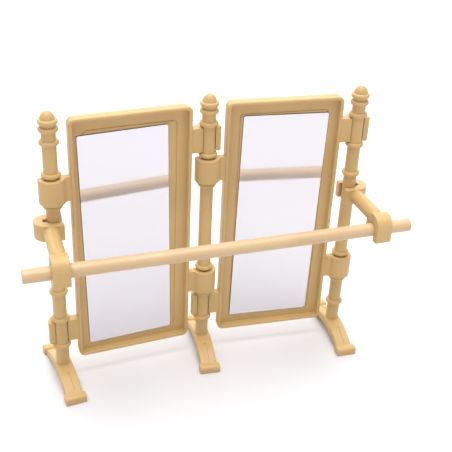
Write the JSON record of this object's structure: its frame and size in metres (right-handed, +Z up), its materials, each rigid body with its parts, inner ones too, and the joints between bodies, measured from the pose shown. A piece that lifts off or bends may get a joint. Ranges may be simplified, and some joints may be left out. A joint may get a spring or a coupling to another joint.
{
  "type": "folding mirror screen with a barre",
  "caption": "Toy folding mirror screen: panels clip onto turned posts on arched feet and fold about them, and brackets hold a round hand rail in front.",
  "frame": {"origin": "on the floor, under the centre of the assembled screen's box", "axes": "+X along the barre to the right-hand post, +Z up the posts, -Y out of the mirrors"},
  "size_m": [0.1288, 0.0456, 0.1],
  "materials": {
    "beige_plastic": "moulded beige plastic, satin",
    "barre_plastic": "extruded beige rod, slightly paler, with scuffs",
    "mirror_foil": "silvered stick-on foil with fine scratches"
  },
  "bodies": {
    "centre_post": {"centre_post": "beige_plastic"},
    "left_panel": {"left_frame": "beige_plastic", "left_mirror": "mirror_foil"},
    "right_panel": {"right_frame": "beige_plastic", "right_mirror": "mirror_foil"},
    "left_bracket": {"left_bracket": "beige_plastic"},
    "right_bracket": {"right_bracket": "beige_plastic"},
    "left_post": {"left_post": "beige_plastic"},
    "right_post": {"right_post": "beige_plastic"},
    "barre": {"barre": "barre_plastic"}
  },
  "joints": [
    {"name": "fold", "type": "hinge", "parent": "centre_post", "child": "left_panel", "pos_m": [0, 0.00619, 0.05], "axis": [0, 0, 1], "range_deg": [-21, 61]},
    {"name": "right_fold", "type": "hinge", "parent": "centre_post", "child": "right_panel", "pos_m": [0, 0.00619, 0.05], "axis": [0, 0, 1], "range_deg": [-61, 21]},
    {"name": "left_bracket_swing", "type": "hinge", "parent": "left_panel", "child": "left_bracket", "pos_m": [-0.05149, 0.00277, 0.06035], "axis": [0, 0, 1], "range_deg": [-61, 21]},
    {"name": "right_bracket_swing", "type": "hinge", "parent": "right_panel", "child": "right_bracket", "pos_m": [0.05149, 0.00277, 0.06035], "axis": [0, 0, 1], "range_deg": [-21, 61]},
    {"name": "left_post_turn", "type": "hinge", "parent": "left_bracket", "child": "left_post", "pos_m": [-0.05149, 0.00277, 0.05], "axis": [0, 0, 1], "continuous": true},
    {"name": "right_post_turn", "type": "hinge", "parent": "right_bracket", "child": "right_post", "pos_m": [0.05149, 0.00277, 0.05], "axis": [0, 0, 1], "continuous": true},
    {"name": "barre_slide", "type": "slide", "parent": "left_bracket", "child": "barre", "axis": [1, 0, 0], "range_m": [-0.008, 0.008]}
  ],
  "couplings": [
    {"joint": "right_fold", "follows": "fold", "ratio": -1},
    {"joint": "left_bracket_swing", "follows": "fold", "ratio": -1},
    {"joint": "right_bracket_swing", "follows": "fold", "ratio": 1}
  ]
}
